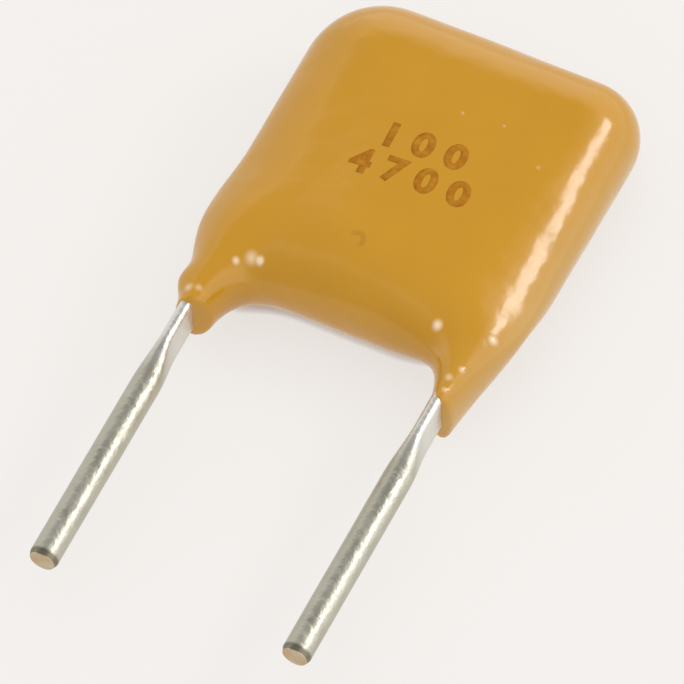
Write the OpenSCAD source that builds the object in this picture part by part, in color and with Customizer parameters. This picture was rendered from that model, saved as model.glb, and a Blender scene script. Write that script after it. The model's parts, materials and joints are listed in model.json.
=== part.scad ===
// Radial-leaded multilayer ceramic capacitor, dipped in epoxy.
// It lies on its back: X runs across the leads, the leads point to -Y and +Z is up
// through the thickness. The origin lies on the coating's flat back, midway between the leads.
// The right-hand pieces are drawn, and the left-hand ones are their mirror images. Only the
// coating isn't the same on both sides: its body has set a little to the right of the leads.

/* [Coating] */
// Thickness of the coating outside the leads, on each side
side_wall = 0.62; // [0.4:0.02:1.2]
// Thickness of the coating past the block's upper and lower ends
end_wall = 0.72; // [0.5:0.01:1.2]
// Thickness of the coating over the block's front and back
face_wall = 0.5; // [0.3:0.01:0.8]
// How far the body of the coating sits to the right of the middle between the leads
coat_shift = 0.12; // [0:0.02:0.2]
// Width of the level strip down the middle of the front
level_w = 1; // [0.4:0.1:3]
// Share of face_wall by which the front has drawn down at the two upper corners
upper_draw = 0.2; // [0:0.02:0.6]
// Share of face_wall by which the front has drawn down at the two lower corners
lower_draw = 0.56; // [0:0.02:0.6]

/* [Coating legs] */
// How far the coating runs down each lead, below the body
leg_drop = 0.93; // [0.5:0.05:2]
// Thickness of a leg's coating beside the blade
leg_side_wall = 0.32; // [0.2:0.02:0.5]
// Thickness of a leg's coating above and below the blade
leg_face_wall = 0.34; // [0.2:0.02:0.4]
// Thickness of coating left at the very end of a leg
lip_wall = 0.12; // [0.05:0.01:0.18]
// Length of the rounded lip where a leg ends
leg_lip = 0.2; // [0.1:0.02:0.4]
// Radius of the web between the inner side of a leg and the body's lower edge
web_r = 0.6; // [0.3:0.05:0.65]
// Radius of the hollow between the outer side of a leg and the body's corner
hollow_r = 0.5; // [0.2:0.05:0.8]
// Radius of the crease between a leg's front and the body's rounded rim
crease_r = 0.8; // [0.4:0.05:1.2]
// Length of the ridge that a leg makes on the body before it dies out
ridge_length = 1.1; // [0.6:0.05:1.8]

/* [Ceramic block] */
// Height of the sintered block, along the leads
block_h = 5; // [4.5:0.05:6.5]
// Thickness of the sintered block
block_t = 1.35; // [1.2:0.05:2.2]

/* [Electrodes] */
// Number of electrodes stacked in the block
electrode_count = 20; // [4:2:36]
// Thickness of one electrode
electrode_t = 0.01; // [0.004:0.002:0.016]
// Plain ceramic outside the outermost electrodes
cover_t = 0.12; // [0.05:0.01:0.3]
// Ceramic along each long edge of an electrode
side_margin = 0.3; // [0.1:0.05:0.8]
// Ceramic between an electrode's free end and the far end cap
end_margin = 0.45; // [0.2:0.05:1]

/* [End caps] */
// Thickness of the metal of an end cap
cap_t = 0.05; // [0.02:0.01:0.1]
// How far an end cap wraps over the block's faces
cap_band = 0.5; // [0.2:0.05:0.8]

/* [Leads] */
// Distance between the two leads
lead_pitch = 5.08; // [4.6:0.02:7.5]
// Diameter of the round wire
wire_d = 0.56; // [0.4:0.02:0.8]
// Length of round wire
wire_length = 4.1; // [2:0.05:30]
// Length over which the wire is pressed from round to flat
press_length = 1; // [0.5:0.05:2]
// Length of flat blade that shows below the legs of the coating
blade_show = 0.65; // [0.3:0.05:3]
// How far the blade runs up the end cap, from the block's lower edge
blade_reach = 3.6; // [2:0.1:4.2]
// Thickness of the flat blade
blade_t = 0.24; // [0.16:0.02:0.36]
// Width of the flat blade, through the thickness of the capacitor
blade_w = 0.82; // [0.7:0.05:1.1]
// How deep the cutter's bevel goes into the tip of the wire
tip_bevel = 0.15; // [0.05:0.01:0.2]
// Slope of that bevel, from the wire's own line
bevel_angle = 45; // [30:5:60]

/* [Solder] */
// Thickness of solder between an end cap and its blade
solder_gap = 0.16; // [0.08:0.01:0.3]
// Height of the fillet on each side of the blade
fillet = 0.22; // [0.1:0.02:0.28]
// How far the solder reaches past the blade's upper end, along the end cap
solder_over = 0.35; // [0.1:0.05:0.6]
// How far the solder creeps down the blade, below the block
solder_creep = 0.17; // [0.05:0.01:0.3]
// Solder left standing over the blade's upper end
solder_end = 0.04; // [0.02:0.01:0.1]

/* [Hidden] */
// The inner pieces, from the middle of the block outwards
lead_x = lead_pitch / 2;
cap_x = lead_x - blade_t / 2 - solder_gap;
solder_root = cap_x - cap_t / 2;
block_w = 2 * (cap_x - cap_t);
electrode_step = (block_t - 2 * cover_t - electrode_t) / (electrode_count - 1);

// The coated body that holds them: its rim and corners are rounded to half its full thickness
coat_w = lead_pitch + blade_t + 2 * side_wall;
coat_h = block_h + 2 * cap_t + 2 * end_wall;
coat_t = block_t + 2 * cap_t + 2 * face_wall;
rim_r = coat_t / 2;
mid_z = coat_t / 2;
body_bottom = -coat_h / 2;
corner_x = coat_w / 2 - rim_r;
corner_y = body_bottom + rim_r;

// The legs, and the heights down each lead
leg_w = blade_t + 2 * leg_side_wall;
leg_t = blade_w + 2 * leg_face_wall;
leg_end = body_bottom - leg_drop;
web = min(web_r, leg_drop - leg_lip);
blade_top = -block_h / 2 + blade_reach;
blade_bottom = leg_end - blade_show;
wire_top = blade_bottom - press_length;
wire_end = wire_top - wire_length;

// Where a leg has grown to its full size and its ridge starts to die out, as a share of the
// rim's radius, and how much of the ridge is drawn before it is too thin to show
ridge_share = 0.5;
ridge_start = body_bottom + rim_r * ridge_share;
ridge_drawn = 0.97;

// Thin end sections that a hull is drawn between
slice = 0.01;
// Sides of a full round: of the wire and of what a hull is drawn over
wire_sides = 64;
hull_sides = 32;
// Points around a section of a leg
leg_points = 32;
// Steps along the lip, along the web, over the body's rim and along the ridge
arc_steps = 6;
web_steps = 8;
rim_steps = 3;
ridge_steps = 6;

function digits(i) = i < 10 ? str("0", i) : str(i);
function electrode_name(i) = str("electrode_", digits(i));

// ---- Placing ----

// Draws its children again, mirrored to the left-hand lead
module on_the_left() mirror([1, 0, 0]) children();

// Extrudes an outline drawn in X and Z from y0 down to y1
module extrude_down(y0, y1)
    translate([0, y0, mid_z]) rotate([90, 0, 0]) linear_extrude(height = y0 - y1) children();

// ---- Lead ----

module blade_outline() {
    square([blade_t, blade_w - blade_t], center = true);
    for (side = [-1, 1])
        translate([0, side * (blade_w - blade_t) / 2]) circle(d = blade_t, $fn = hull_sides);
}

module pressed_transition() hull() {
    extrude_down(blade_bottom, blade_bottom - slice) blade_outline();
    extrude_down(wire_top + slice, wire_top) circle(d = wire_d, $fn = hull_sides);
}

module tip_cut()
    translate([0, wire_end, mid_z + wire_d / 2 - tip_bevel]) rotate([bevel_angle, 0, 0])
        translate([0, 0, wire_d / 2]) cube([2 * wire_d, 4 * wire_d, wire_d], center = true);

module lead() translate([lead_x, 0, 0]) difference() {
    union() {
        extrude_down(blade_top, blade_bottom) blade_outline();
        pressed_transition();
        extrude_down(wire_top, wire_end) circle(d = wire_d, $fn = wire_sides);
    }
    tip_cut();
}

// ---- Solder between a blade and its end cap ----

// The joint starts inside the end cap's wall, and the end cap is then cut out of the solder

// Corners of the fillet's section above the blade, from the end cap out to the blade
function fillet_points() = concat(
    [[solder_root, blade_w / 2 + fillet]],
    [for (i = [0:arc_steps])
        let (a = 180 + 90 * i / arc_steps)
        [cap_x + fillet * (1 + cos(a)), blade_w / 2 + fillet * (1 + sin(a))]],
    [[lead_x, (blade_w - blade_t) / 2]]
);

module solder_section() {
    upper = fillet_points();
    lower = [for (i = [len(upper) - 1:-1:0]) [upper[i][0], -upper[i][1]]];
    polygon(concat(upper, lower));
}

// Side view of the joint: it slopes from the blade's end to the end cap
module solder_profile()
    polygon([
        [solder_root, -block_h / 2],
        [cap_x, -block_h / 2],
        [lead_x, -block_h / 2 - solder_creep],
        [lead_x, blade_top + solder_end],
        [cap_x, blade_top + solder_over],
        [solder_root, blade_top + solder_over]
    ]);

module solder_joint() intersection() {
    extrude_down(blade_top + solder_over, -block_h / 2 - solder_creep) solder_section();
    linear_extrude(height = coat_t) solder_profile();
}

module solder() difference() {
    solder_joint();
    cap_solid();
    lead();
}

// ---- Ceramic block, electrodes and end caps ----

module block_solid()
    translate([0, 0, mid_z]) cube([block_w, block_h, block_t], center = true);

// The odd electrodes end at the left end cap, the even ones at the right
module electrode(i) {
    length = block_w - end_margin;
    side = i % 2 == 1 ? -1 : 1;
    z = mid_z + (i - (electrode_count + 1) / 2) * electrode_step;
    translate([side * end_margin / 2, 0, z])
        cube([length, block_h - 2 * side_margin, electrode_t], center = true);
}

module ceramic_block() color("ivory") difference() {
    block_solid();
    for (i = [1:electrode_count]) electrode(i);
}

module cap_solid() {
    band = cap_band + cap_t;
    translate([cap_x - band / 2, 0, mid_z])
        cube([band, block_h + 2 * cap_t, block_t + 2 * cap_t], center = true);
}

module end_cap() difference() {
    cap_solid();
    block_solid();
}

// ---- Coating ----

module rounded_bar_outline(width) {
    square([width - coat_t, coat_t], center = true);
    for (side = [-1, 1])
        translate([side * (width - coat_t) / 2, 0]) circle(r = rim_r, $fn = hull_sides);
}

// A corner of the body: a full round behind, and a flatter one of height front_r in front
module corner_round(front_r)
    rotate_extrude($fn = hull_sides)
        polygon([for (i = [0:hull_sides / 2])
            let (a = 360 * i / hull_sides - 90)
            [rim_r * cos(a), (a > 0 ? front_r : rim_r) * sin(a)]]);

// The level strip keeps the full thickness, and the front falls away from it to the corners.
// The back stays flat.
module coated_body() translate([coat_shift, 0, 0]) hull() {
    rotate([0, 0, 90]) extrude_down(level_w / 2, -level_w / 2) rounded_bar_outline(coat_h);
    for (x = [-1, 1], y = [-1, 1])
        translate([x * corner_x, -y * corner_y, mid_z])
            corner_round(rim_r - face_wall * (y > 0 ? upper_draw : lower_draw));
}

// Spread of the web towards the other leg, at height y
function web_spread(y) =
    let (d = max(0, min(y - (body_bottom - web), web)))
    web - sqrt(pow(web, 2) - pow(d, 2));

// A hollow of radius r joins a straight wall to a round of radius arc_r, whose centre lies
// at height arc_y and at a distance depth behind the wall. This is how far the hollow has
// moved out from the wall at height y, held where it meets the round.
function hollow_rise(y, arc_y, arc_r, depth, r) =
    let (
        reach = sqrt(max(0, pow(arc_r + r, 2) - pow(depth + r, 2))),
        d = max(0, min(y - (arc_y - reach), reach * r / (arc_r + r)))
    )
    r - sqrt(pow(r, 2) - pow(d, 2));

// How far a leg's section has grown over the rounded lip, from 0 to 1
function lip_growth(y) = sqrt(1 - pow(max(0, 1 - (y - leg_end) / leg_lip), 2));

// How much of a leg's section is left along the ridge, from 1 down to 0
function ridge_left(y) = sqrt(1 - pow(max(0, (y - ridge_start) / ridge_length), 2));

// One section of a leg at height y: an ellipse round the blade. The body's corner beside the
// leg is moved out by shift.
function leg_section(y, shift) =
    let (
        grown = lip_growth(y),
        side_w = blade_t / 2 + lip_wall * (1 - grown) + leg_side_wall * grown,
        inner_w = side_w + web_spread(y),
        depth = lead_x + leg_w / 2 - corner_x - shift,
        outer_w = side_w + hollow_rise(y, corner_y, rim_r, depth, hollow_r),
        half_t = blade_w / 2 + lip_wall * (1 - grown) + leg_face_wall * grown
            + hollow_rise(y, corner_y, rim_r, leg_t / 2, crease_r),
        half_w = (inner_w + outer_w) / 2,
        middle = lead_x + (outer_w - inner_w) / 2,
        left = ridge_left(y)
    )
    [for (i = [0:leg_points - 1])
        let (a = 360 * i / leg_points)
        [middle + half_w * left * cos(a), y, mid_z + half_t * left * sin(a)]];

// Heights of the sections: closest together where the leg curves most
leg_heights = concat(
    [for (i = [0:arc_steps]) leg_end + leg_lip * (1 - cos(90 * i / arc_steps))],
    [for (i = [1:web_steps]) leg_end + leg_lip + (leg_drop - leg_lip) * sin(90 * i / web_steps)],
    [for (i = [1:rim_steps]) body_bottom + (ridge_start - body_bottom) * i / rim_steps],
    [for (i = [1:ridge_steps]) ridge_start + ridge_length * ridge_drawn * sin(90 * i / ridge_steps)]
);

// Skin over a stack of rings that run from the lowest to the highest
module skin(rings) {
    n = len(rings[0]);
    last = len(rings) - 1;
    walls = [for (r = [0:last - 1], i = [0:n - 1])
        let (j = (i + 1) % n)
        each [
            [r * n + i, r * n + j, (r + 1) * n + j],
            [r * n + i, (r + 1) * n + j, (r + 1) * n + i]
        ]];
    lower_end = [for (i = [n - 1:-1:0]) i];
    upper_end = [for (i = [0:n - 1]) last * n + i];
    polyhedron([for (ring = rings) each ring], concat(walls, [lower_end, upper_end]));
}

module coating_leg(shift) skin([for (y = leg_heights) leg_section(y, shift)]);

module pieces_of_one_end() {
    cap_solid();
    solder_joint();
    lead();
}

module epoxy_coating() color("goldenrod") difference() {
    union() {
        coated_body();
        coating_leg(coat_shift);
        on_the_left() coating_leg(-coat_shift);
    }
    block_solid();
    pieces_of_one_end();
    on_the_left() pieces_of_one_end();
}

// ---- Nodes ----

module right_end_cap() color("silver") end_cap();
module left_end_cap() color("silver") on_the_left() end_cap();
module right_solder() color("lightsteelblue") solder();
module left_solder() color("lightsteelblue") on_the_left() solder();
module right_lead() color("gainsboro") lead();
module left_lead() color("gainsboro") on_the_left() lead();

epoxy_coating();
ceramic_block();
for (i = [1:electrode_count])
    color("dimgray") electrode(i);
left_end_cap();
right_end_cap();
left_solder();
right_solder();
left_lead();
right_lead();
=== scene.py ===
import json
import math

import bmesh
import bpy
from mathutils import Matrix, Vector


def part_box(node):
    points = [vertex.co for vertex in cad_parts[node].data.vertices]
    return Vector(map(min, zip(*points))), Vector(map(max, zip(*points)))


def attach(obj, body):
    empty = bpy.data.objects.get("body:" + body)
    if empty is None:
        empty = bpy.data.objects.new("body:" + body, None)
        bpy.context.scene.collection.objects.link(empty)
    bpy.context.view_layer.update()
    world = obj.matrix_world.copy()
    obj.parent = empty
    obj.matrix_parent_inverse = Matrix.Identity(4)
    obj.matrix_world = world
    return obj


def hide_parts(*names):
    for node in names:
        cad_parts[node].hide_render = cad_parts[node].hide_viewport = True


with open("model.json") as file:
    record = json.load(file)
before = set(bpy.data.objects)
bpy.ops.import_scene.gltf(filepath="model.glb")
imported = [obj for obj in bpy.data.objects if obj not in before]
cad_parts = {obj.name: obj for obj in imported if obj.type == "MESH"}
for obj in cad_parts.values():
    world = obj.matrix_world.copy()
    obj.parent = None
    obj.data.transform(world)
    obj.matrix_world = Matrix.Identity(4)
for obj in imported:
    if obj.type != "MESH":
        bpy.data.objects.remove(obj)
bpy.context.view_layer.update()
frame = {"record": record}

# A dipped multilayer ceramic capacitor with radial leads. It lies on its back: X runs across
# the leads, the leads point to -Y and +Z is up through the thickness.

mm = 0.001
scene = bpy.context.scene


def hexColour(code):
    # sRGB hex to the linear colour that Blender's sockets take
    channels = [int(code[i:i + 2], 16) / 255 for i in (1, 3, 5)]
    return [c / 12.92 if c <= 0.04045 else ((c + 0.055) / 1.055) ** 2.4 for c in channels] + [1.0]


def feed(tree, node, links):
    # gives each named or numbered input a value, a socket, or another node's first live output
    for key, value in links.items():
        if isinstance(key, int):
            socket = node.inputs[key]
        else:
            socket = next(s for s in node.inputs if s.enabled and s.name == key)
        if isinstance(value, bpy.types.Node):
            value = next(s for s in value.outputs if s.enabled)
        if isinstance(value, bpy.types.NodeSocket):
            tree.links.new(value, socket)
        else:
            socket.default_value = value


def addNode(tree, kind, links=None, **settings):
    # adds one node, sets it up and feeds it
    node = tree.nodes.new(kind)
    for key, value in settings.items():
        setattr(node, key, value)
    feed(tree, node, links or {})
    return node


def newTree(name, sizes):
    # a geometry tree whose inputs are the named sizes
    tree = bpy.data.node_groups.new(name, "GeometryNodeTree")
    for size, value in sizes.items():
        socket = tree.interface.new_socket(name=size, in_out="INPUT", socket_type="NodeSocketFloat")
        socket.default_value = value
    tree.interface.new_socket(name="Geometry", in_out="OUTPUT", socket_type="NodeSocketGeometry")
    return tree, tree.nodes.new("NodeGroupInput").outputs


def finishTree(tree, geometry, material):
    # millimetres to metres, smooth shading, real geometry and the finish
    scaled = addNode(tree, "GeometryNodeTransform", {"Geometry": geometry, "Scale": (mm, mm, mm)})
    smooth = addNode(tree, "GeometryNodeSetShadeSmooth", {"Geometry": scaled})
    real = addNode(tree, "GeometryNodeRealizeInstances", {"Geometry": smooth})
    finished = addNode(tree, "GeometryNodeSetMaterial", {"Geometry": real, "Material": material})
    addNode(tree, "NodeGroupOutput", {"Geometry": finished})


def growPiece(name, tree, sizes):
    # runs a tree on an empty mesh and keeps the result as a plain mesh
    seed = bpy.data.objects.new(name + "Seed", bpy.data.meshes.new(name + "Seed"))
    scene.collection.objects.link(seed)
    modifier = seed.modifiers.new("grow", "NODES")
    modifier.node_group = tree
    inputs = [item for item in tree.interface.items_tree if item.in_out == "INPUT"]
    identifiers = {item.name: item.identifier for item in inputs}
    for size, value in sizes.items():
        modifier[identifiers[size]] = float(value)
    bpy.context.view_layer.update()
    grown = seed.evaluated_get(bpy.context.evaluated_depsgraph_get())
    mesh = bpy.data.meshes.new_from_object(grown)
    seed.modifiers.remove(modifier)
    bpy.data.objects.remove(seed)
    mesh.name = name
    piece = bpy.data.objects.new(name, mesh)
    scene.collection.objects.link(piece)
    return piece


def newMaterial(name, constants):
    # a material with its shader, the constants set on the shader's own sockets
    material = bpy.data.materials.new(name)
    material.use_nodes = True
    tree = material.node_tree
    shader = tree.nodes["Principled BSDF"]
    feed(tree, shader, constants)
    return material, tree, shader


# the camera looks down on the front face, from beyond the leads and a little to the right

view = {
    "azimuth": 32.94,   # degrees from -Y towards +X
    "elevation": 56.0,  # degrees above the floor
    "roll": -7.8,       # degrees
    "distance": 307.3,  # mm
    "width": 12.35,     # mm of the scene across the view, at the target
    "target": (0.317, -3.571, 1.25),
}


def makeCamera():
    azimuth, elevation, roll = (math.radians(view[key]) for key in ("azimuth", "elevation", "roll"))
    back = Vector((math.sin(azimuth) * math.cos(elevation), -math.cos(azimuth) * math.cos(elevation),
                   math.sin(elevation)))
    level = Vector((math.cos(azimuth), math.sin(azimuth), 0))
    upright = back.cross(level)
    right = level * math.cos(roll) + upright * math.sin(roll)
    up = upright * math.cos(roll) - level * math.sin(roll)
    data = bpy.data.cameras.new("camera")
    data.sensor_width = 36
    data.lens = data.sensor_width * view["distance"] / view["width"]
    data.clip_start = 0.01
    data.clip_end = 10
    camera = bpy.data.objects.new("camera", data)
    place = Matrix((right, up, back)).transposed().to_4x4()
    place.translation = (Vector(view["target"]) + back * view["distance"]) * mm
    camera.matrix_world = place
    scene.collection.objects.link(camera)
    scene.camera = camera


makeCamera()
print("camera placed")


# the epoxy coating: a dipped body whose front thins towards its sides and lower corners, run down both leads

coat = {  # mm, where nothing else is said
    "Width": 6.495,
    "Height": 6.485,
    "Thickness": 2.43,
    "Edge": 1.299,            # how far in from its outline the body starts to round off
    "Top Left Corner": 1.505,
    "Top Right Corner": 1.076,
    "Bottom Left Corner": 1.136,
    "Bottom Right Corner": 1.7,
    "Corner Lean": 0.872,     # how much tighter that corner's round is at the front, and wider at the back
    "Turn": 0.826,            # degrees that the dipped body sits askew on its leads
    "Centre X": 0.14,
    "Centre Y": 0.037,
    "Left Thinning": 0.327,   # share of the front half that is lost at that edge, halfway up
    "Right Thinning": 0.399,
    "Lower Thinning": 0.327,  # share that is lost besides at the lower corners, and kept at the upper ones
    "Thinning Power": 1.516,  # how late towards the edge the thinning comes
    "Flush Blend": 0.12,      # how softly the flat front and back hold back what would stand out past them
    "Root Blend": 1.2,        # how softly a leg ends inside the body
    "Lip Blend": 0.15,        # how softly a leg's lower edge is rounded
    "Drip X": -2.635,         # a drip that has set on the left leg
    "Drip Y": -3.566,
    "Drip Z": 1.369,
    "Drip Radius": 0.3,
    "Drip Blend": 0.375,
    "Waviness": 0.03,
    "Wave Scale": 0.45,       # waves in a millimetre
    "Seed": 7.0,
}
legs = {  # mm
    "Left": {
        "X": -2.44,               # middle of the leg at its lip
        "Middle": 1.173,          # height of that middle
        "Half Width": 0.325,
        "Half Thickness": 0.576,
        "Lean": 0.0,              # what each of these four gains by the top of the taper
        "Rise": 0.0,
        "Wider": 0.078,
        "Thicker": 0.05,
        "Taper": 0.729,           # length of the taper
        "End": -4.149,
        "Slant": 0.069,           # slope of the lip through the thickness, and across the leg
        "Side Slant": 0.264,
        "Root": -1.608,           # where the leg ends inside the body
        "Web": 1.35,              # how softly the leg and the body run together
    },
    "Right": {
        "X": 2.602,
        "Middle": 1.052,
        "Half Width": 0.215,
        "Half Thickness": 0.617,
        "Lean": 0.006,
        "Rise": 0.152,
        "Wider": 0.559,
        "Thicker": 0.024,
        "Taper": 2.399,
        "End": -4.256,
        "Slant": 0.082,
        "Side Slant": 0.05,
        "Root": -2.36,
        "Web": 1.116,
    },
}
coatMesh = {  # mm
    "voxel": 0.042,
    "lowest": (-3.6, -4.7, -0.2),
    "highest": (3.8, 3.6, 2.7),
    "leanDepth": 1.2,              # depth either side of the middle over which the leaning corner changes
    "levelling": 16,               # rounds of smoothing
    "levelledFrom": (-3.6, -2.9),  # Y where the smoothing starts, and where it is whole
}


def outlineDistance(tree, size, local, axes, half, onRight):
    # distance in plan to a rectangle whose corners have rounds of their own
    lean = coatMesh["leanDepth"]
    onTop = addNode(tree, "ShaderNodeMath", {0: axes[1], 1: 0.0}, operation="GREATER_THAN")
    towardsBack = addNode(tree, "ShaderNodeMapRange", {0: axes[2], 1: -lean, 2: lean, 3: 1.0, 4: -1.0},
                          interpolation_type="SMOOTHSTEP")
    leaning = addNode(tree, "ShaderNodeMath", {0: towardsBack, 1: size["Corner Lean"],
                      2: size["Bottom Right Corner"]}, operation="MULTIPLY_ADD")
    lower = addNode(tree, "ShaderNodeMix", {"Factor": onRight, "A": size["Bottom Left Corner"], "B": leaning})
    upper = addNode(tree, "ShaderNodeMix", {"Factor": onRight, "A": size["Top Left Corner"],
                    "B": size["Top Right Corner"]})
    radius = addNode(tree, "ShaderNodeMix", {"Factor": onTop, "A": lower, "B": upper})
    mirrored = addNode(tree, "ShaderNodeVectorMath", {0: local}, operation="ABSOLUTE")
    outside = addNode(tree, "ShaderNodeVectorMath", {0: mirrored, 1: half}, operation="SUBTRACT")
    corner = addNode(tree, "ShaderNodeVectorMath", {0: outside, 1: radius}, operation="ADD")
    cornerAxes = addNode(tree, "ShaderNodeSeparateXYZ", {0: corner}).outputs
    clipped = addNode(tree, "ShaderNodeVectorMath", {0: corner}, operation="MAXIMUM")
    flat = addNode(tree, "ShaderNodeVectorMath", {0: clipped, 1: (1, 1, 0)}, operation="MULTIPLY")
    far = addNode(tree, "ShaderNodeVectorMath", {0: flat}, operation="LENGTH")
    widest = addNode(tree, "ShaderNodeMath", {0: cornerAxes[0], 1: cornerAxes[1]}, operation="MAXIMUM")
    near = addNode(tree, "ShaderNodeMath", {0: widest, 1: 0.0}, operation="MINIMUM")
    reached = addNode(tree, "ShaderNodeMath", {0: far, 1: near}, operation="ADD")
    return addNode(tree, "ShaderNodeMath", {0: reached, 1: radius}, operation="SUBTRACT")


def thicknessLeft(tree, size, local, axes, half, onRight):
    # share of the thickness that is left here: the front thins towards the sides, more at the lower corners
    share = addNode(tree, "ShaderNodeVectorMath", {0: local, 1: half}, operation="DIVIDE")
    shareAxes = addNode(tree, "ShaderNodeSeparateXYZ", {0: share}).outputs
    sideways = addNode(tree, "ShaderNodeMath", {0: shareAxes[0]}, operation="ABSOLUTE")
    towardsSide = addNode(tree, "ShaderNodeMath", {0: sideways, 1: size["Thinning Power"]},
                          operation="POWER", use_clamp=True)
    atSide = addNode(tree, "ShaderNodeMix", {"Factor": onRight, "A": size["Left Thinning"],
                     "B": size["Right Thinning"]})
    downwards = addNode(tree, "ShaderNodeMapRange", {0: shareAxes[1], 1: 1.0, 2: -1.0, 3: -1.0, 4: 1.0})
    thinning = addNode(tree, "ShaderNodeMath", {0: downwards, 1: size["Lower Thinning"], 2: atSide},
                       operation="MULTIPLY_ADD")
    lost = addNode(tree, "ShaderNodeMath", {0: thinning, 1: towardsSide}, operation="MULTIPLY")
    inFront = addNode(tree, "ShaderNodeMath", {0: axes[2], 1: 0.0}, operation="GREATER_THAN")
    lostHere = addNode(tree, "ShaderNodeMath", {0: lost, 1: inFront}, operation="MULTIPLY")
    return addNode(tree, "ShaderNodeMath", {0: 1.0, 1: lostHere}, operation="SUBTRACT")


def bodyDistance(tree, size, place, halfThick):
    # distance to a slab with a rounded outline and a rounded edge, in millimetres
    centre = addNode(tree, "ShaderNodeCombineXYZ", {0: size["Centre X"], 1: size["Centre Y"], 2: halfThick})
    angle = addNode(tree, "ShaderNodeMath", {0: size["Turn"]}, operation="RADIANS")
    turned = addNode(tree, "ShaderNodeVectorRotate", {"Vector": place, "Center": centre, "Angle": angle},
                     rotation_type="Z_AXIS")
    local = addNode(tree, "ShaderNodeVectorMath", {0: turned, 1: centre}, operation="SUBTRACT")
    axes = addNode(tree, "ShaderNodeSeparateXYZ", {0: local}).outputs
    onRight = addNode(tree, "ShaderNodeMath", {0: axes[0], 1: 0.0}, operation="GREATER_THAN")
    extent = addNode(tree, "ShaderNodeCombineXYZ", {0: size["Width"], 1: size["Height"]})
    half = addNode(tree, "ShaderNodeVectorMath", {0: extent, "Scale": 0.5}, operation="SCALE")
    outline = outlineDistance(tree, size, local, axes, half, onRight)
    left = thicknessLeft(tree, size, local, axes, half, onRight)
    # a quarter ellipse from the flat to the outline, as high as the thickness that is left
    inEdge = addNode(tree, "ShaderNodeMath", {0: outline, 1: size["Edge"]}, operation="ADD")
    inward = addNode(tree, "ShaderNodeMath", {0: inEdge, 1: 0.0}, operation="MAXIMUM")
    halfHere = addNode(tree, "ShaderNodeMath", {0: left, 1: halfThick}, operation="MULTIPLY")
    edgeShare = addNode(tree, "ShaderNodeMath", {0: size["Edge"], 1: halfHere}, operation="DIVIDE")
    upward = addNode(tree, "ShaderNodeMath", {0: axes[2], 1: edgeShare}, operation="MULTIPLY")
    across = addNode(tree, "ShaderNodeCombineXYZ", {0: inward, 1: upward})
    reach = addNode(tree, "ShaderNodeVectorMath", {0: across}, operation="LENGTH")
    return addNode(tree, "ShaderNodeMath", {0: reach, 1: size["Edge"]}, operation="SUBTRACT")


def legDistance(tree, size, place, side):
    # distance to a tapered oval leg that is cut off askew at its lip
    axes = addNode(tree, "ShaderNodeSeparateXYZ", {0: place}).outputs
    upper = addNode(tree, "ShaderNodeMath", {0: size[side + " End"], 1: size[side + " Taper"]},
                    operation="ADD")
    grown = addNode(tree, "ShaderNodeMapRange", {0: axes[1], 1: size[side + " End"], 2: upper})
    growths = {"X": "Lean", "Middle": "Rise", "Half Width": "Wider", "Half Thickness": "Thicker"}
    here = {}
    for atLip, growth in growths.items():
        here[atLip] = addNode(tree, "ShaderNodeMath", {0: grown, 1: size[f"{side} {growth}"],
                              2: size[f"{side} {atLip}"]}, operation="MULTIPLY_ADD")
    sideways = addNode(tree, "ShaderNodeMath", {0: axes[0], 1: here["X"]}, operation="SUBTRACT")
    height = addNode(tree, "ShaderNodeMath", {0: axes[2], 1: here["Middle"]}, operation="SUBTRACT")
    shareX = addNode(tree, "ShaderNodeMath", {0: sideways, 1: here["Half Width"]}, operation="DIVIDE")
    shareZ = addNode(tree, "ShaderNodeMath", {0: height, 1: here["Half Thickness"]}, operation="DIVIDE")
    oval = addNode(tree, "ShaderNodeCombineXYZ", {0: shareX, 1: shareZ})
    reach = addNode(tree, "ShaderNodeVectorMath", {0: oval}, operation="LENGTH")
    past = addNode(tree, "ShaderNodeMath", {0: reach, 1: 1.0}, operation="SUBTRACT")
    thinner = addNode(tree, "ShaderNodeMath", {0: here["Half Width"], 1: here["Half Thickness"]},
                      operation="MINIMUM")
    wall = addNode(tree, "ShaderNodeMath", {0: past, 1: thinner}, operation="MULTIPLY")
    above = addNode(tree, "ShaderNodeMath", {0: axes[1], 1: size[side + " Root"]}, operation="SUBTRACT")
    rooted = addNode(tree, "ShaderNodeMath", {0: wall, 1: above, 2: size["Root Blend"]},
                     operation="SMOOTH_MAX")
    slanted = addNode(tree, "ShaderNodeMath", {0: height, 1: size[side + " Slant"], 2: size[side + " End"]},
                      operation="MULTIPLY_ADD")
    skewed = addNode(tree, "ShaderNodeMath", {0: sideways, 1: size[side + " Side Slant"], 2: slanted},
                     operation="MULTIPLY_ADD")
    below = addNode(tree, "ShaderNodeMath", {0: skewed, 1: axes[1]}, operation="SUBTRACT")
    return addNode(tree, "ShaderNodeMath", {0: rooted, 1: below, 2: size["Lip Blend"]},
                   operation="SMOOTH_MAX")


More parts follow.
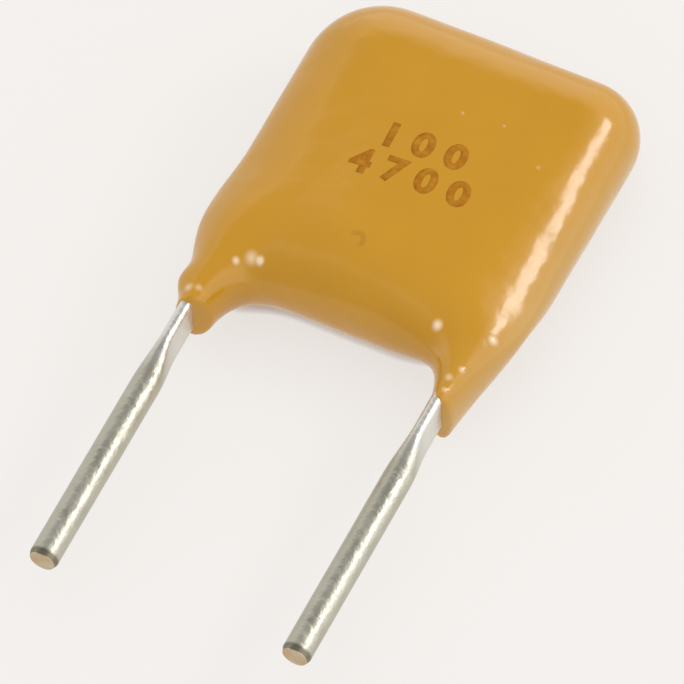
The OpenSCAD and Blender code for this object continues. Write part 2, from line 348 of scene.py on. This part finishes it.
def makeCoat(material):
    sizes = dict(coat)
    for side, leg in legs.items():
        sizes.update({f"{side} {key}": value for key, value in leg.items()})
    tree, size = newTree("dipped coating", sizes)
    place = addNode(tree, "GeometryNodeInputPosition")
    halfThick = addNode(tree, "ShaderNodeMath", {0: size["Thickness"], 1: 0.5}, operation="MULTIPLY")
    skin = bodyDistance(tree, size, place, halfThick)
    for side in legs:
        leg = legDistance(tree, size, place, side)
        skin = addNode(tree, "ShaderNodeMath", {0: skin, 1: leg, 2: size[side + " Web"]},
                       operation="SMOOTH_MIN")
    dripAt = addNode(tree, "ShaderNodeCombineXYZ", {0: size["Drip X"], 1: size["Drip Y"], 2: size["Drip Z"]})
    fromDrip = addNode(tree, "ShaderNodeVectorMath", {0: place, 1: dripAt}, operation="DISTANCE")
    drip = addNode(tree, "ShaderNodeMath", {0: fromDrip, 1: size["Drip Radius"]}, operation="SUBTRACT")
    skin = addNode(tree, "ShaderNodeMath", {0: skin, 1: drip, 2: size["Drip Blend"]}, operation="SMOOTH_MIN")
    waves = addNode(tree, "ShaderNodeTexNoise", {"Vector": place, "W": size["Seed"],
                    "Scale": size["Wave Scale"], "Detail": 1.0}, noise_dimensions="4D")
    level = addNode(tree, "ShaderNodeMath", {0: waves, 1: 0.5}, operation="SUBTRACT")
    skin = addNode(tree, "ShaderNodeMath", {0: level, 1: size["Waviness"], 2: skin}, operation="MULTIPLY_ADD")
    # nothing stands out past the flat front and back
    height = addNode(tree, "ShaderNodeSeparateXYZ", {0: place}).outputs[2]
    offMiddle = addNode(tree, "ShaderNodeMath", {0: height, 1: halfThick}, operation="SUBTRACT")
    fromMiddle = addNode(tree, "ShaderNodeMath", {0: offMiddle}, operation="ABSOLUTE")
    proud = addNode(tree, "ShaderNodeMath", {0: fromMiddle, 1: halfThick}, operation="SUBTRACT")
    skin = addNode(tree, "ShaderNodeMath", {0: skin, 1: proud, 2: size["Flush Blend"]},
                   operation="SMOOTH_MAX")
    # the cloud is denser than 1 inside the skin, and the surface is drawn where it is just 1
    density = addNode(tree, "ShaderNodeMath", {0: 1.0, 1: skin}, operation="SUBTRACT")
    lowest, highest = coatMesh["lowest"], coatMesh["highest"]
    counts = [round((high - low) / coatMesh["voxel"]) for low, high in zip(lowest, highest)]
    cloud = addNode(tree, "GeometryNodeVolumeCube", {"Density": density, "Min": lowest, "Max": highest,
                    "Resolution X": counts[0], "Resolution Y": counts[1], "Resolution Z": counts[2]})
    surface = addNode(tree, "GeometryNodeVolumeToMesh", {"Volume": cloud, "Threshold": 1.0})
    # the wet coating levels out over the body, while the legs keep their lips
    here = addNode(tree, "GeometryNodeInputPosition")
    along = addNode(tree, "ShaderNodeSeparateXYZ", {0: here}).outputs[1]
    start, whole = coatMesh["levelledFrom"]
    onBody = addNode(tree, "ShaderNodeMapRange", {0: along, 1: start, 2: whole})
    levelled = addNode(tree, "GeometryNodeBlurAttribute", {"Value": here, "Iterations": coatMesh["levelling"],
                       "Weight": onBody}, data_type="FLOAT_VECTOR")
    smooth = addNode(tree, "GeometryNodeSetPosition", {"Geometry": surface, "Position": levelled})
    finishTree(tree, smooth, material)
    return growPiece("coating", tree, sizes)


epoxy = {
    "thick": "#D1981E",
    "thin": "#CA901C",
    # painted highlight: the colour that the pimples and pinholes are lightened towards, standing in for
    # glints
    "pale": "#FFE2B8",
    # painted reflection: the colour that the lower part of the right wall is lightened towards
    "rim": "#CFA664",
    "stain": "#A8741C",
    "cloudScale": 0.8,        # patches in a millimetre
    "rimAcross": (2.2, 3.3),  # X in mm over which the painted reflection on the lower right wall comes in, and Z
    "rimDown": (2.0, 1.0),
    "front": (1.2, 1.4),      # Z in mm over which the pimples and pinholes come in
    # slow waves, ripples and orange peel: how many in a millimetre, and their height in mm
    "ripples": ((1.0, 0.04), (3.2, 0.008), (6.0, 0.002)),
    # pimples in the gloss: x, y, radius and height in mm, and how strong the painted highlight on each is, a
    # lighter spot that stands in for the lamp's glint on it
    "pimples": (
        (-1.62, -2.92, 0.11, 0.02, 1.3),
        (-1.79, -2.93, 0.17, 0.015, 0.7),
        (-2.03, -3.08, 0.1, 0.012, 0.9),
        (-2.59, -3.89, 0.12, 0.015, 0.6),
        (-2.41, -3.85, 0.1, 0.015, 0.5),
        (1.96, -2.9, 0.14, 0.015, 1.1),
        (2.96, -2.69, 0.13, 0.02, 1.0),
        (2.73, -3.5, 0.09, 0.012, 0.7),
        (2.59, -3.74, 0.11, 0.012, 0.6),
        (2.63, -4.0, 0.08, 0.01, 0.6),
    ),
    # pinholes left by bubbles that burst, in the same terms, each with a faint painted highlight
    "pinholes": (
        (0.53, 1.13, 0.05, -0.006, 0.35),
        (1.33, 1.2, 0.05, -0.006, 0.3),
        (2.25, 0.71, 0.06, -0.006, 0.3),
    ),
}
ring = {  # a faint ring that a drop left, in mm
    "centre": (-0.03, -2.12, 0),
    "radius": 0.14,
    "halfWidth": 0.05,
    "towards": (0.6, 0.8, 0),  # the side that is left
    "washed": (-0.06, 0.04),   # how far that way from the centre it starts to show, and shows most
    "strength": 0.4,
}


def makeEpoxy():
    # the body was dipped in amber epoxy that levelled before it cured: a deep even colour under a wet gloss,
    # slow waves that bend its reflections, a few pimples and pinholes with painted highlights, the lower
    # right wall painted lighter as a reflection of the bright floor, and part of the ring that a drop left
    material, tree, shader = newMaterial("glossyDippedEpoxy", {"Roughness": 0.16, "IOR": 1.55})
    metres = addNode(tree, "ShaderNodeTexCoord").outputs["Object"]
    place = addNode(tree, "ShaderNodeVectorMath", {0: metres, "Scale": 1 / mm}, operation="SCALE")
    axes = addNode(tree, "ShaderNodeSeparateXYZ", {0: place}).outputs
    clouds = addNode(tree, "ShaderNodeTexNoise", {"Vector": place, "Scale": epoxy["cloudScale"],
                     "Detail": 2.0})
    colour = addNode(tree, "ShaderNodeMix", {"Factor": clouds, "A": hexColour(epoxy["thin"]),
                     "B": hexColour(epoxy["thick"])}, data_type="RGBA")
    # painted reflection: the lower part of the right wall is mixed towards a lighter colour, as the bright
    # floor beside it would show in the gloss
    start, whole = epoxy["rimAcross"]
    beside = addNode(tree, "ShaderNodeMapRange", {0: axes[0], 1: start, 2: whole},
                     interpolation_type="SMOOTHSTEP")
    start, whole = epoxy["rimDown"]
    below = addNode(tree, "ShaderNodeMapRange", {0: axes[2], 1: start, 2: whole},
                    interpolation_type="SMOOTHSTEP")
    paintedRimReflection = addNode(tree, "ShaderNodeMath", {0: beside, 1: below}, operation="MULTIPLY")
    colour = addNode(tree, "ShaderNodeMix", {"Factor": paintedRimReflection, "A": colour, "B": hexColour(epoxy["rim"])},
                     data_type="RGBA")
    relief = 0.0
    for scale, height in epoxy["ripples"]:
        ripple = addNode(tree, "ShaderNodeTexNoise", {"Vector": place, "Scale": scale, "Detail": 1.0})
        relief = addNode(tree, "ShaderNodeMath", {0: ripple, 1: height, 2: relief}, operation="MULTIPLY_ADD")
    start, whole = epoxy["front"]
    inFront = addNode(tree, "ShaderNodeMapRange", {0: axes[2], 1: start, 2: whole})
    flat = addNode(tree, "ShaderNodeVectorMath", {0: place, 1: (1, 1, 0)}, operation="MULTIPLY")
    paintedHighlight = 0.0
    for x, y, radius, rise, pale in epoxy["pimples"] + epoxy["pinholes"]:
        away = addNode(tree, "ShaderNodeVectorMath", {0: flat, 1: (x, y, 0)}, operation="DISTANCE")
        dot = addNode(tree, "ShaderNodeMapRange", {0: away, 1: radius, 2: 0.0},
                      interpolation_type="SMOOTHSTEP")
        here = addNode(tree, "ShaderNodeMath", {0: dot, 1: inFront}, operation="MULTIPLY")
        relief = addNode(tree, "ShaderNodeMath", {0: here, 1: rise, 2: relief}, operation="MULTIPLY_ADD")
        paintedHighlight = addNode(tree, "ShaderNodeMath", {0: here, 1: pale, 2: paintedHighlight}, operation="MULTIPLY_ADD")
    fromRing = addNode(tree, "ShaderNodeVectorMath", {0: flat, 1: ring["centre"]}, operation="DISTANCE")
    band = addNode(tree, "ShaderNodeMath", {0: fromRing, 1: ring["radius"], 2: ring["halfWidth"]},
                   operation="COMPARE")
    across = addNode(tree, "ShaderNodeVectorMath", {0: flat, 1: ring["towards"]}, operation="DOT_PRODUCT")
    start, whole = (Vector(ring["centre"]).dot(Vector(ring["towards"])) + edge for edge in ring["washed"])
    kept = addNode(tree, "ShaderNodeMapRange", {0: across, 1: start, 2: whole, 4: ring["strength"]})
    faint = addNode(tree, "ShaderNodeMath", {0: band, 1: kept}, operation="MULTIPLY")
    colour = addNode(tree, "ShaderNodeMix", {"Factor": faint, "A": colour, "B": hexColour(epoxy["stain"])},
                     data_type="RGBA")
    # painted highlights: lighter spots on the pimples and pinholes
    colour = addNode(tree, "ShaderNodeMix", {"Factor": paintedHighlight, "A": colour, "B": hexColour(epoxy["pale"])},
                     data_type="RGBA")
    bump = addNode(tree, "ShaderNodeBump", {"Height": relief, "Strength": 1.0, "Distance": mm})
    feed(tree, shader, {"Base Color": colour, "Normal": bump})
    return material


coating = makeCoat(makeEpoxy())
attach(coating, "root")
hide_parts("epoxy_coating")
print("coating made:", len(coating.data.polygons), "faces")


# the leads: tinned copper wire, pressed flat where the coating holds it

lead = {  # mm, where nothing else is said
    "Blade Thickness": 0.24,
    "Press": 1.0,        # length over which the wire goes from flat to round
    "Bevel": 0.06,       # depth of the cutter's bevel at the tip
    "Bevel Slope": 1.0,  # how fast the bevel rises back from the tip
    "Tip Round": 0.09,   # how far back from the tip its edge is rounded
    "Tip Draw": 0.14,    # share of the radius lost to that rounding
    "Unevenness": 0.02,  # share of the radius, from the dipped tin
    "Tin Scale": 1.3,    # lumps of tin in a millimetre
}
leadMesh = {
    "rings": 400,
    "sides": 48,
    "split": 0.12,  # share of the radius either side of the middle where the section is pulled apart
}


def leadMount(side):
    # the record's mount at a lead's round wire
    return next(m for m in frame["record"]["mounts"] if m["name"] == side + "_lead_wire")


def makeLead(side, seed, material):
    low, high = (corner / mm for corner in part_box(side + "_lead"))
    mount = leadMount(side)
    sizes = {
        "Centre X": (low.x + high.x) / 2,
        "Centre Z": (low.z + high.z) / 2,
        "Top": high.y,
        "End": low.y,
        "Wire Top": mount["pos_m"][1] / mm + mount["dims"]["length_mm"] / 2,
        "Wire Diameter": high.x - low.x,
        "Blade Width": high.z - low.z,
        "Seed": seed,
    }
    sizes.update(lead)
    tree, size = newTree("pressed lead", sizes)
    start = addNode(tree, "ShaderNodeCombineXYZ", {1: size["Top"]})
    stop = addNode(tree, "ShaderNodeCombineXYZ", {1: size["End"]})
    line = addNode(tree, "GeometryNodeCurvePrimitiveLine", {"Start": start, "End": stop})
    route = addNode(tree, "GeometryNodeResampleCurve", {"Curve": line, "Count": leadMesh["rings"]})
    circle = addNode(tree, "GeometryNodeCurvePrimitiveCircle", {"Resolution": leadMesh["sides"],
                     "Radius": 1.0})
    bar = addNode(tree, "GeometryNodeCurveToMesh", {"Curve": route, "Profile Curve": circle,
                  "Fill Caps": True})
    place = addNode(tree, "GeometryNodeInputPosition")
    axes = addNode(tree, "ShaderNodeSeparateXYZ", {0: place}).outputs
    flatEnd = addNode(tree, "ShaderNodeMath", {0: size["Wire Top"], 1: size["Press"]}, operation="ADD")
    pressed = addNode(tree, "ShaderNodeMapRange", {0: axes[1], 1: flatEnd, 2: size["Wire Top"]},
                      interpolation_type="SMOOTHSTEP")
    # the section is two half rounds and the flat between them
    bladeR = addNode(tree, "ShaderNodeMath", {0: size["Blade Thickness"], 1: 0.5}, operation="MULTIPLY")
    wireR = addNode(tree, "ShaderNodeMath", {0: size["Wire Diameter"], 1: 0.5}, operation="MULTIPLY")
    radius = addNode(tree, "ShaderNodeMix", {"Factor": pressed, "A": bladeR, "B": wireR})
    spread = addNode(tree, "ShaderNodeMath", {0: size["Blade Width"], 1: size["Blade Thickness"]},
                     operation="SUBTRACT")
    halfSpread = addNode(tree, "ShaderNodeMath", {0: spread, 1: 0.5}, operation="MULTIPLY")
    flat = addNode(tree, "ShaderNodeMix", {"Factor": pressed, "A": halfSpread, "B": 0.0})
    tin = addNode(tree, "ShaderNodeTexNoise", {"Vector": place, "W": size["Seed"], "Scale": size["Tin Scale"],
                  "Detail": 2.0}, noise_dimensions="4D")
    level = addNode(tree, "ShaderNodeMath", {0: tin, 1: 0.5}, operation="SUBTRACT")
    uneven = addNode(tree, "ShaderNodeMath", {0: level, 1: size["Unevenness"], 2: 1.0},
                     operation="MULTIPLY_ADD")
    roundFrom = addNode(tree, "ShaderNodeMath", {0: size["End"], 1: size["Tip Round"]}, operation="ADD")
    drawn = addNode(tree, "ShaderNodeMapRange", {0: axes[1], 1: roundFrom, 2: size["End"], 3: 0.0,
                    4: size["Tip Draw"]})
    kept = addNode(tree, "ShaderNodeMath", {0: uneven, 1: drawn}, operation="SUBTRACT")
    finalR = addNode(tree, "ShaderNodeMath", {0: radius, 1: kept}, operation="MULTIPLY")
    newX = addNode(tree, "ShaderNodeMath", {0: axes[0], 1: finalR, 2: size["Centre X"]},
                   operation="MULTIPLY_ADD")
    split = leadMesh["split"]
    sideOfFlat = addNode(tree, "ShaderNodeMapRange", {0: axes[2], 1: -split, 2: split, 3: -1.0, 4: 1.0})
    lifted = addNode(tree, "ShaderNodeMath", {0: sideOfFlat, 1: flat}, operation="MULTIPLY")
    rounded = addNode(tree, "ShaderNodeMath", {0: axes[2], 1: finalR, 2: lifted}, operation="MULTIPLY_ADD")
    # the cutter's bevel takes the upper edge off the tip
    beyond = addNode(tree, "ShaderNodeMath", {0: axes[1], 1: size["End"]}, operation="SUBTRACT")
    rise = addNode(tree, "ShaderNodeMath", {0: beyond, 1: size["Bevel Slope"], 2: wireR},
                   operation="MULTIPLY_ADD")
    cut = addNode(tree, "ShaderNodeMath", {0: rise, 1: size["Bevel"]}, operation="SUBTRACT")
    bevelled = addNode(tree, "ShaderNodeMath", {0: rounded, 1: cut}, operation="MINIMUM")
    newZ = addNode(tree, "ShaderNodeMath", {0: bevelled, 1: size["Centre Z"]}, operation="ADD")
    target = addNode(tree, "ShaderNodeCombineXYZ", {0: newX, 1: axes[1], 2: newZ})
    shaped = addNode(tree, "GeometryNodeSetPosition", {"Geometry": bar, "Position": target})
    finishTree(tree, shaped, material)
    return growPiece(side + "Lead", tree, sizes)


tinning = {
    "tin": ("#AFAC9D", "#CDCABA"),
    "blotchScale": 2.2,            # blotches in a millimetre
    "roughness": (0.34, 0.46),
    "roughnessOver": (0.35, 0.7),  # the blotches' values over which the roughness runs
    "burnishedAndReflecting": "#E4E2DA",
    "burnishedFrom": (0.2, 1.0),   # mm above the round wire over which the lighter tin comes in
    "scraped": "#837E6C",
    "scrapedFrom": (0.15, 0.09),   # mm from the tip over which the scraped, painted-shade band comes in
    "cut": ("#C6A884", "#CBC0A2"),
    "smearOver": (0.4, 0.6),       # the blotches' values over which the cut goes from copper to smeared tin
    "cutDepth": 0.01,              # mm
    "grainScale": 9.0,             # grains in a millimetre
    "grainHeight": 0.02,           # mm
    "grainStrength": 0.8,
}


def makeTinnedCopper():
    # copper wire hot-dipped in tin: a soft metal, blotchy where the tin froze, lighter on the flats from the
    # press's burnish and a painted reflection of the floor, darker beside the cut from scraped tin and
    # painted shade, and tan where the cut smeared tin over the copper
    material, tree, shader = newMaterial("hotTinnedCopper", {"Metallic": 1.0})
    place = addNode(tree, "ShaderNodeTexCoord").outputs["Object"]
    along = addNode(tree, "ShaderNodeSeparateXYZ", {0: place}).outputs[1]
    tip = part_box("right_lead")[0].y  # both leads end level
    wireTop = tip + leadMount("right")["dims"]["length_mm"] * mm
    blotches = addNode(tree, "ShaderNodeTexNoise", {"Vector": place, "Scale": tinning["blotchScale"] / mm,
                       "Detail": 3.0})
    low, high = tinning["roughnessOver"]
    smooth, rough = tinning["roughness"]
    shine = addNode(tree, "ShaderNodeMapRange", {0: blotches, 1: low, 2: high, 3: smooth, 4: rough})
    dark, light = tinning["tin"]
    colour = addNode(tree, "ShaderNodeMix", {"Factor": blotches, "A": hexColour(dark), "B": hexColour(light)},
                     data_type="RGBA")
    # lighter tin on the flats: partly burnish from the press, partly a painted reflection of the bright floor
    # on the blade's side
    start, whole = tinning["burnishedFrom"]
    onFlat = addNode(tree, "ShaderNodeMapRange", {0: along, 1: wireTop + start * mm, 2: wireTop + whole * mm})
    colour = addNode(tree, "ShaderNodeMix", {"Factor": onFlat, "A": colour,
                     "B": hexColour(tinning["burnishedAndReflecting"])}, data_type="RGBA")
    # a dark band at the tip: partly tin scraped dull by the cutter, partly painted shade where the bevel
    # looks dark
    start, whole = tinning["scrapedFrom"]
    nearTip = addNode(tree, "ShaderNodeMapRange", {0: along, 1: tip + start * mm, 2: tip + whole * mm})
    colour = addNode(tree, "ShaderNodeMix", {"Factor": nearTip, "A": colour,
                     "B": hexColour(tinning["scraped"])}, data_type="RGBA")
    start, whole = tinning["smearOver"]
    smear = addNode(tree, "ShaderNodeMapRange", {0: blotches, 1: start, 2: whole})
    copper, smeared = tinning["cut"]
    cutColour = addNode(tree, "ShaderNodeMix", {"Factor": smear, "A": hexColour(copper),
                        "B": hexColour(smeared)}, data_type="RGBA")
    cutFace = addNode(tree, "ShaderNodeMath", {0: along, 1: tip + tinning["cutDepth"] * mm},
                      operation="LESS_THAN")
    colour = addNode(tree, "ShaderNodeMix", {"Factor": cutFace, "A": colour, "B": cutColour},
                     data_type="RGBA")
    grain = addNode(tree, "ShaderNodeTexNoise", {"Vector": place, "Scale": tinning["grainScale"] / mm,
                    "Detail": 3.0})
    bump = addNode(tree, "ShaderNodeBump", {"Height": grain, "Strength": tinning["grainStrength"],
                   "Distance": tinning["grainHeight"] * mm})
    feed(tree, shader, {"Base Color": colour, "Roughness": shine, "Normal": bump})
    return material


tinnedCopper = makeTinnedCopper()
for side, seed in (("left", 3), ("right", 8)):
    piece = makeLead(side, seed, tinnedCopper)
    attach(piece, "root")
    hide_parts(side + "_lead")
    print(side, "lead made:", len(piece.data.polygons), "faces")


# the pieces that the coating hides keep their solids and get their own finishes

grainSpan = (0.3, 0.7)  # nearly all of a noise texture's values lie between these
inner = {  # scale is grains in a millimetre, and relief is in mm
    # pressed and sintered titanate: dense, matt and biscuit-coloured, with a fine grain
    "sinteredTitanateCeramic": {
        "nodes": ("ceramic_block",),
        "colours": ("#B8A27C", "#CDB994"),
        "metallic": 0.0,
        "roughness": (0.72, 0.9),
        "scale": 6.0,
        "relief": 0.004,
    },
    # metal paste printed through a screen and fired: a dark metal, slightly open from the grains of the paste
    "firedMetalFilm": {
        "nodes": tuple(f"electrode_{i:02d}" for i in range(1, 21)),
        "colours": ("#6B675F", "#8D887E"),
        "metallic": 1.0,
        "roughness": (0.38, 0.6),
        "scale": 12.0,
        "relief": 0.001,
    },
    # silver paste dipped on and fired: whitish and satin, with soft brush-like patches
    "firedSilver": {
        "nodes": ("left_end_cap", "right_end_cap"),
        "colours": ("#B7B4AC", "#D6D3CB"),
        "metallic": 1.0,
        "roughness": (0.34, 0.55),
        "scale": 8.0,
        "relief": 0.003,
    },
    # solder that has flowed and frozen: bright grey with slow dull patches
    "reflowedSolder": {
        "nodes": ("left_solder", "right_solder"),
        "colours": ("#9C9D9D", "#C3C4C3"),
        "metallic": 1.0,
        "roughness": (0.16, 0.34),
        "scale": 3.5,
        "relief": 0.005,
    },
}


def finishInner(name, look):
    material, tree, shader = newMaterial(name, {"Metallic": look["metallic"]})
    place = addNode(tree, "ShaderNodeTexCoord").outputs["Object"]
    grain = addNode(tree, "ShaderNodeTexNoise", {"Vector": place, "Scale": look["scale"] / mm, "Detail": 4.0})
    dark, light = look["colours"]
    colour = addNode(tree, "ShaderNodeMix", {"Factor": grain, "A": hexColour(dark), "B": hexColour(light)},
                     data_type="RGBA")
    low, high = grainSpan
    smooth, rough = look["roughness"]
    shine = addNode(tree, "ShaderNodeMapRange", {0: grain, 1: low, 2: high, 3: smooth, 4: rough})
    bump = addNode(tree, "ShaderNodeBump", {"Height": grain, "Distance": look["relief"] * mm})
    feed(tree, shader, {"Base Color": colour, "Roughness": shine, "Normal": bump})
    for node in look["nodes"]:
        mesh = bpy.data.objects[node].data
        mesh.materials.clear()
        mesh.materials.append(material)


for name, look in inner.items():
    finishInner(name, look)
print("hidden pieces finished")


# plain digits printed on the front

printing = {  # mm, where nothing else is said
    "rows": (("100", -0.445, 0.17), ("4700", -0.73, -0.52)),  # digits, and the middle of the first one
    "step": 0.645,      # from one digit to the next
    "height": 0.52,
    "typeShare": 0.73,  # a digit's height as a share of the type size
    "wider": 1.12,      # a digit's width against the typeface's
    "heavier": 0.03,    # added to each side of a stroke
    "turn": 1.6,        # degrees
    "above": 3.0,       # height that the digits are dropped from
    "longest": 0.1,     # edges longer than this are divided, so that they follow the coating
    "gap": 0.001,
    "film": 0.002,      # thickness of the ink
}
ink = {
    "thin": "#C08424",
    "thick": "#AF6E18",
    "patchScale": 7.0,      # patches in a millimetre
    "cover": (0.32, 0.62),  # the patches' values over which thin ink turns to thick
}


def makeDigit(digit, x, y):
    # one digit as a flat mesh above its place
    curve = bpy.data.curves.new("digit", "FONT")
    curve.body = digit
    curve.align_x = "CENTER"
    curve.align_y = "CENTER"
    curve.size = printing["height"] / printing["typeShare"] * mm
    curve.offset = printing["heavier"] * mm
    holder = bpy.data.objects.new("digit", curve)
    scene.collection.objects.link(holder)
    bpy.context.view_layer.update()
    mesh = bpy.data.meshes.new_from_object(holder.evaluated_get(bpy.context.evaluated_depsgraph_get()))
    bpy.data.objects.remove(holder)
    turn = Matrix.Rotation(math.radians(printing["turn"]), 4, "Z")
    place = Matrix.Translation(Vector((x, y, printing["above"])) * mm)
    mesh.transform(turn @ place @ Matrix.Diagonal((printing["wider"], 1, 1, 1)))
    return mesh


def makePrinting(material):
    work = bmesh.new()
    for text, startX, y in printing["rows"]:
        for i, digit in enumerate(text):
            work.from_mesh(makeDigit(digit, startX + i * printing["step"], y))
    bmesh.ops.remove_doubles(work, verts=work.verts, dist=0.001 * mm)
    bmesh.ops.triangulate(work, faces=work.faces)
    longEdges = [edge for edge in work.edges if edge.calc_length() > printing["longest"] * mm]
    bmesh.ops.subdivide_edges(work, edges=longEdges, cuts=2)
    joined = bpy.data.objects.new("printedDigits", bpy.data.meshes.new("printedDigits"))
    scene.collection.objects.link(joined)
    work.to_mesh(joined.data)
    work.free()
    wrap = joined.modifiers.new("onto the coating", "SHRINKWRAP")
    wrap.target = coating
    wrap.wrap_method = "PROJECT"
    wrap.use_project_z = True
    wrap.use_negative_direction = True
    wrap.use_positive_direction = False
    wrap.offset = printing["gap"] * mm
    film = joined.modifiers.new("film", "SOLIDIFY")
    film.thickness = printing["film"] * mm
    film.offset = 1
    bpy.context.view_layer.update()
    final = bpy.data.meshes.new_from_object(joined.evaluated_get(bpy.context.evaluated_depsgraph_get()))
    joined.modifiers.clear()
    joined.data = final
    final.materials.clear()
    final.materials.append(material)
    return joined


def makeInk():
    # stamped marking ink that soaked into the gloss: matt brown, thin enough in places for the amber to show
    material, tree, shader = newMaterial("stampedBrownInk", {"Roughness": 0.7, "Specular IOR Level": 0.1})
    place = addNode(tree, "ShaderNodeTexCoord").outputs["Object"]
    patches = addNode(tree, "ShaderNodeTexNoise", {"Vector": place, "Scale": ink["patchScale"] / mm,
                      "Detail": 4.0})
    low, high = ink["cover"]
    cover = addNode(tree, "ShaderNodeMapRange", {0: patches, 1: low, 2: high})
    colour = addNode(tree, "ShaderNodeMix", {"Factor": cover, "A": hexColour(ink["thin"]),
                     "B": hexColour(ink["thick"])}, data_type="RGBA")
    feed(tree, shader, {"Base Color": colour})
    return material


digits = makePrinting(makeInk())
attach(digits, "root")
print("digits printed:", len(digits.data.polygons), "faces")


# the floor and the light

floorCard = {
    "halfSize": 0.4,        # m
    "card": "#F1EEEA",
    "glow": "#F6F3F0",
    "level": 1.0,           # strength of the glow, where 1 is the colour as written
    "ownLight": 0.76,       # share of the card that the eye sees evenly lit, which keeps shadows faint
    "contact": 0.28,        # mm within which the part darkens the card where it touches it
    "contactPower": 2.0,
    "contactSamples": 16,
}


def makeStage():
    size = floorCard["halfSize"]
    corners = [(-size, -size, 0), (size, -size, 0), (size, size, 0), (-size, size, 0)]
    mesh = bpy.data.meshes.new("floor")
    mesh.from_pydata(corners, [], [(0, 1, 2, 3)])
    floor = bpy.data.objects.new("floor", mesh)
    scene.collection.objects.link(floor)
    material, tree, shader = newMaterial("mattWhiteCard", {"Base Color": hexColour(floorCard["card"]),
                                         "Roughness": 0.9})
    path = addNode(tree, "ShaderNodeLightPath").outputs
    seen = addNode(tree, "ShaderNodeMath", {0: path["Is Camera Ray"], 1: path["Is Glossy Ray"]},
                   operation="ADD")
    seenOrThrough = addNode(tree, "ShaderNodeMath", {0: seen, 1: path["Is Transmission Ray"]},
                            operation="ADD", use_clamp=True)
    openness = addNode(tree, "ShaderNodeAmbientOcclusion", {"Distance": floorCard["contact"] * mm},
                       samples=floorCard["contactSamples"]).outputs["AO"]
    clear = addNode(tree, "ShaderNodeMath", {0: openness, 1: floorCard["contactPower"]}, operation="POWER")
    lit = addNode(tree, "ShaderNodeMath", {0: clear, 1: floorCard["ownLight"]}, operation="MULTIPLY")
    share = addNode(tree, "ShaderNodeMath", {0: seenOrThrough, 1: lit}, operation="MULTIPLY")
    glow = addNode(tree, "ShaderNodeEmission", {"Color": hexColour(floorCard["glow"]),
                   "Strength": floorCard["level"]})
    mixed = addNode(tree, "ShaderNodeMixShader", {0: share, 1: shader, 2: glow})
    feed(tree, tree.nodes["Material Output"], {"Surface": mixed})
    mesh.materials.append(material)


makeStage()
print("floor laid")

lamp = {
    "direction": (0.68, 0.4, 0.57),
    "distance": 100,  # mm, as the width and the length
    "width": 20,
    "length": 32,
    "radiance": 8.6,
}
sky = {
    "fillAbove": 0.99,  # light that a matt surface gets from overhead, and from the horizon
    "fillAtRim": 0.62,
    "bright": 1.45,     # what a glossy surface mirrors outside the dim patches
    # the dark ceiling and the room behind: direction, degrees off it where brightening starts and ends,
    # and level
    "patches": (
        ((-0.1, 0.1, 1.0), 28, 52, 0.35),
        ((-0.87, 0.35, 0.33), 13, 33, 0.85),
        ((-0.3, -0.85, 0.4), 12, 54, 0.4),
    ),
}


def makeLamp():
    data = bpy.data.lights.new("window", "AREA")
    data.shape = "RECTANGLE"
    data.size = lamp["width"] * mm
    data.size_y = lamp["length"] * mm
    # the watts of a lamp that looks this bright
    data.energy = lamp["radiance"] * math.pi * data.size * data.size_y
    light = bpy.data.objects.new("window", data)
    direction = Vector(lamp["direction"]).normalized()
    across = Vector((0, 1, 0)).cross(direction).normalized()  # the long side runs along the leads
    aim = Matrix((across, direction.cross(across), direction)).transposed().to_4x4()
    light.matrix_world = Matrix.Translation(direction * lamp["distance"] * mm) @ aim
    scene.collection.objects.link(light)


def makeSky():
    world = bpy.data.worlds.new("studio")
    scene.world = world
    world.use_nodes = True
    tree = world.node_tree
    direction = addNode(tree, "ShaderNodeTexCoord").outputs["Generated"]
    mirrored = sky["bright"]
    for patch, inside, outside, level in sky["patches"]:
        near = addNode(tree, "ShaderNodeVectorMath", {0: direction, 1: Vector(patch).normalized()},
                       operation="DOT_PRODUCT")
        edge, middle = math.cos(math.radians(outside)), math.cos(math.radians(inside))
        dim = addNode(tree, "ShaderNodeMapRange", {0: near, 1: edge, 2: middle, 3: sky["bright"], 4: level},
                      interpolation_type="SMOOTHSTEP")
        mirrored = addNode(tree, "ShaderNodeMath", {0: mirrored, 1: dim}, operation="MINIMUM")
    height = addNode(tree, "ShaderNodeSeparateXYZ", {0: direction}).outputs[2]
    fill = addNode(tree, "ShaderNodeMapRange", {0: height, 1: 0.0, 2: 1.0, 3: sky["fillAtRim"],
                   4: sky["fillAbove"]})
    path = addNode(tree, "ShaderNodeLightPath").outputs
    strength = addNode(tree, "ShaderNodeMix", {"Factor": path["Is Diffuse Ray"], "A": mirrored, "B": fill})
    feed(tree, tree.nodes["Background"], {"Color": (1, 1, 1, 1), "Strength": strength})


makeLamp()
makeSky()
scene.view_settings.view_transform = "Standard"
print("lamp and sky set")
